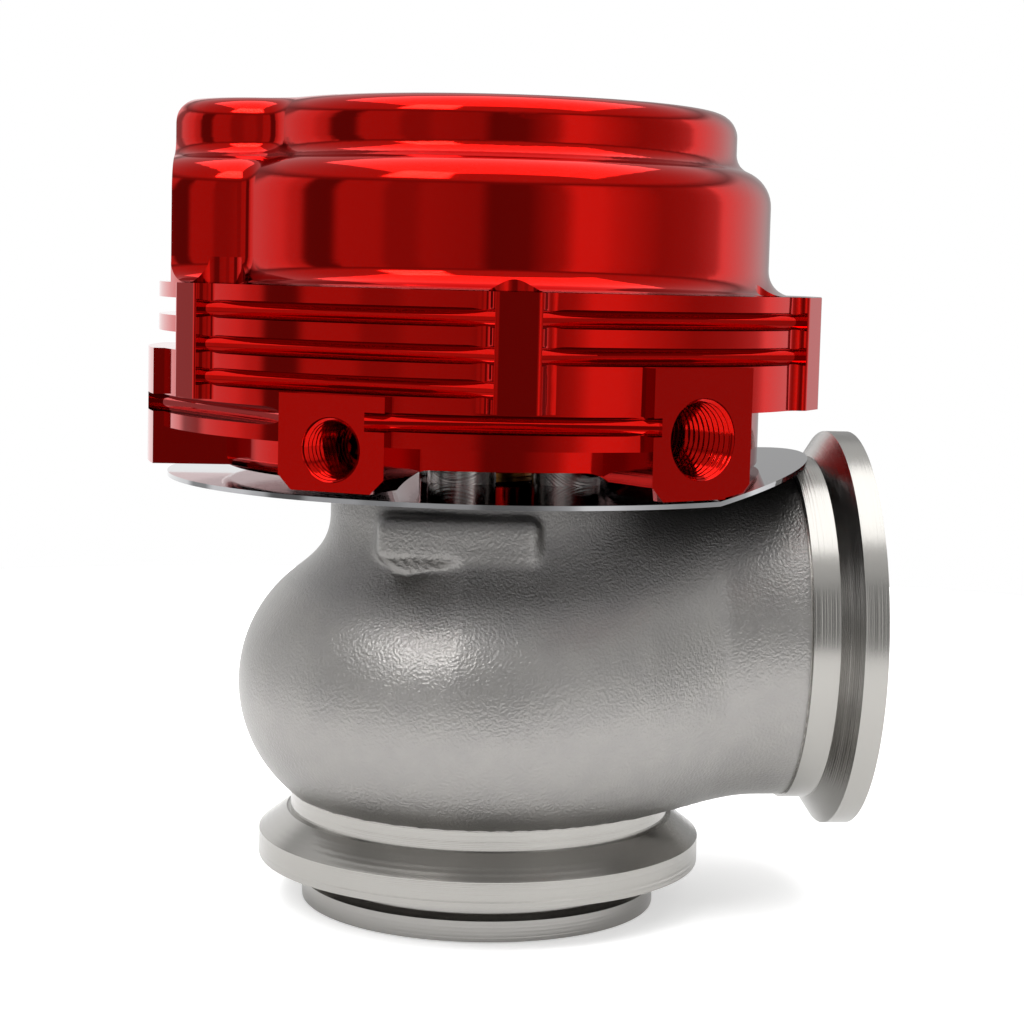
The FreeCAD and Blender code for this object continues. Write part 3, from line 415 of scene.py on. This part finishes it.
# White to the eye, and a studio of soft panels to the metals. The azimuth is atan2(x, -y), and the
# height is the direction's z: panels stand from -0.35 to 0.45, with a pale ceiling over them, a pale
# floor below and one bright soft box up on the left.
def makeWorld():
    world = bpy.data.worlds.new("studio")
    bpy.context.scene.world = world
    world.use_nodes = True
    tree = world.node_tree
    tree.nodes.clear()
    place = addNode(tree, "ShaderNodeTexCoord")
    split = addNode(tree, "ShaderNodeSeparateXYZ", {"Vector": (place, "Generated")})
    back = addNode(tree, "ShaderNodeMath", {0: (split, "Y")}, {1: -1.0}, operation="MULTIPLY")
    azimuth = addNode(tree, "ShaderNodeMath", {0: (split, "X"), 1: (back, "Value")}, operation="ARCTAN2")
    turn = addRange(tree, (azimuth, "Value"), -math.pi, math.pi, 0.0, 1.0)
    ramp = setRamp(addNode(tree, "ShaderNodeValToRGB", {"Fac": (turn, "Result")}),
                   [((a + 180) / 360, shade / 2) for a, shade in studioPanels])
    wall = band(tree, (split, "Z"), -0.35, 0.45, 0.04)
    wallTwice = addNode(tree, "ShaderNodeMath", {0: (wall, "Value")}, {1: 2.0}, operation="MULTIPLY")
    panels = addNode(tree, "ShaderNodeVectorMath", {0: (ramp, "Color"), "Scale": (wallTwice, "Value")},
                     operation="SCALE")
    over = addRange(tree, (split, "Z"), 0.41, 0.6, 0.0, 0.85)
    under = addRange(tree, (split, "Z"), -0.39, -0.31, 0.8, 0.0)
    boxTurn = band(tree, (azimuth, "Value"), math.radians(-56), math.radians(-26), 0.03)
    boxLift = band(tree, (split, "Z"), 0.62, 0.84, 0.02)
    box = addNode(tree, "ShaderNodeMath", {0: (boxTurn, "Value"), 1: (boxLift, "Value")},
                  operation="MULTIPLY")
    bright = addNode(tree, "ShaderNodeMath", {0: (box, "Value")}, {1: 9.0}, operation="MULTIPLY")
    flat = addNode(tree, "ShaderNodeMath", {0: (over, "Result"), 1: (under, "Result")}, operation="ADD")
    both = addNode(tree, "ShaderNodeMath", {0: (flat, "Value"), 1: (bright, "Value")}, operation="ADD")
    total = addNode(tree, "ShaderNodeVectorMath", {0: (panels, "Vector"), 1: (both, "Value")},
                    operation="ADD")
    studio = addNode(tree, "ShaderNodeBackground", {"Color": (total, "Vector")}, {"Strength": 1.0})
    white = addNode(tree, "ShaderNodeBackground", {}, {"Color": (1, 1, 1, 1), "Strength": 1.0})
    rays = addNode(tree, "ShaderNodeLightPath")
    mix = addNode(tree, "ShaderNodeMixShader", {"Fac": (rays, "Is Camera Ray")})
    tree.links.new(studio.outputs["Background"], mix.inputs[1])
    tree.links.new(white.outputs["Background"], mix.inputs[2])
    addNode(tree, "ShaderNodeOutputWorld", {"Surface": (mix, "Shader")})
    return world


# A soft box that points at a target.
def areaLight(name, place, target, size, power):
    light = bpy.data.lights.new(name, "AREA")
    light.shape = "RECTANGLE"
    light.size, light.size_y = size
    light.energy = power
    item = bpy.data.objects.new(name, light)
    bpy.context.scene.collection.objects.link(item)
    item.location = place
    item.rotation_mode = "QUATERNION"
    item.rotation_quaternion = (Vector(target) - Vector(place)).to_track_quat("-Z", "Y")
    return item


# The camera stands 0.32 m in front, a little left of the valve, and looks slightly down.
def makeCamera():
    heading, pitch, roll = (math.radians(a) for a in (4.838, -5.936, 1.425))
    level = math.cos(pitch)
    forward = Vector((math.sin(heading) * level, math.cos(heading) * level, math.sin(pitch)))
    right = Vector((math.cos(heading), -math.sin(heading), 0))
    up = right.cross(forward)
    side = right * math.cos(roll) + up * math.sin(roll)
    top = up * math.cos(roll) - right * math.sin(roll)
    camera = bpy.data.cameras.new("camera")
    camera.sensor_width = 36.0
    camera.lens = 80.06
    camera.clip_start = 0.01
    item = bpy.data.objects.new("camera", camera)
    bpy.context.scene.collection.objects.link(item)
    turn = Matrix((side, top, -forward)).transposed().to_4x4()
    item.matrix_world = Matrix.Translation(Vector((-0.023117, -0.316706, 0.087565))) @ turn
    bpy.context.scene.camera = item


makeFloor()
makeWorld()
areaLight("topBox", (0.0, -0.05, 0.6), (0, 0, 0.05), (0.7, 0.6), 3.0)
makeCamera()
bpy.context.scene.view_settings.view_transform = "Standard"
print("stage: floor, light and camera")
